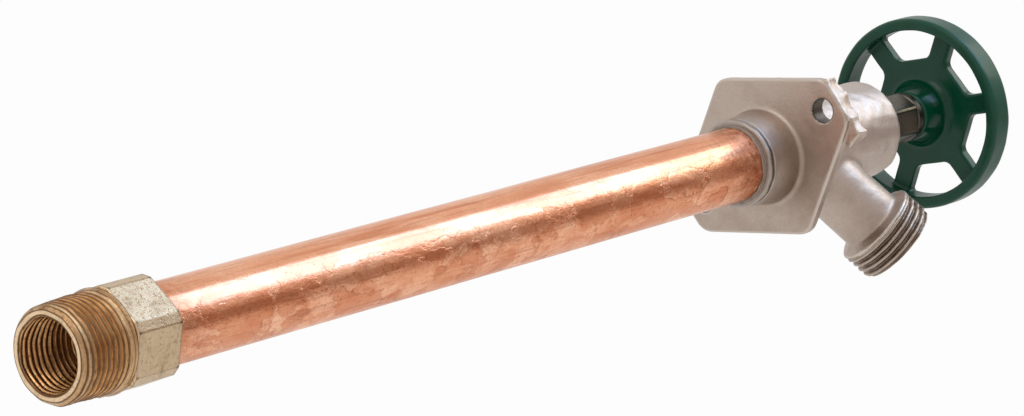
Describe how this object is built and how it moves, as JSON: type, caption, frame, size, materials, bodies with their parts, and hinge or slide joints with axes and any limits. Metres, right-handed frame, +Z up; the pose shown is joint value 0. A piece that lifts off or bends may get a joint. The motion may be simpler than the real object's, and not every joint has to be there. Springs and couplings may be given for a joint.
{
  "type": "frost free sillcock",
  "caption": "Outdoor wall tap with a sloping hose spout, a wall flange and a green handwheel, and a long copper tube that puts its valve seat and threaded brass inlet inside the warm wall.",
  "frame": {"origin": "middle of the flange's wall face, on the axis of the tube and stem", "axes": "+Y into the wall along the tube, -Y out to the handwheel, +Z up, the spout down"},
  "size_m": [0.067, 0.3982, 0.0755],
  "materials": {
    "plated_casting": "satin nickel plate on cast brass",
    "copper_tube": "drawn copper, bright",
    "inlet_brass": "machined and lightly tarnished",
    "solder": "satin",
    "plated_nut": "satin nickel plate",
    "turned_brass": "turned",
    "packing": "matte",
    "black_rubber": "matte",
    "bright_steel": "zinc plated",
    "green_enamel": "gloss"
  },
  "bodies": {
    "fixed_body": {"valve_body": "plated_casting", "supply_tube": "copper_tube", "inlet_fitting": "inlet_brass", "body_solder_ring": "solder", "inlet_solder_ring": "solder", "packing_nut": "plated_nut", "packing_washer": "turned_brass", "packing_ring_inner": "packing", "packing_ring_outer": "packing"},
    "washer_carrier": {"washer_holder": "turned_brass", "seat_washer": "black_rubber", "washer_screw": "turned_brass", "swivel_pin": "bright_steel"},
    "turning_stem": {"stem": "turned_brass", "operating_rod": "turned_brass", "rod_pin": "bright_steel", "stem_o_ring": "black_rubber", "handwheel": "green_enamel", "lock_washer": "bright_steel", "handle_screw": "bright_steel"}
  },
  "joints": [
    {"name": "stem_lift", "type": "slide", "parent": "fixed_body", "child": "washer_carrier", "axis": [0, -1, 0], "range_m": [0, 0.00635]},
    {"name": "handwheel_turn", "type": "hinge", "parent": "washer_carrier", "child": "turning_stem", "pos_m": [0, 0, 0], "axis": [0, -1, 0], "range_deg": [0, 720]}
  ],
  "couplings": [
    {"joint": "stem_lift", "follows": "handwheel_turn", "m_per_rad": 0.0005053}
  ]
}
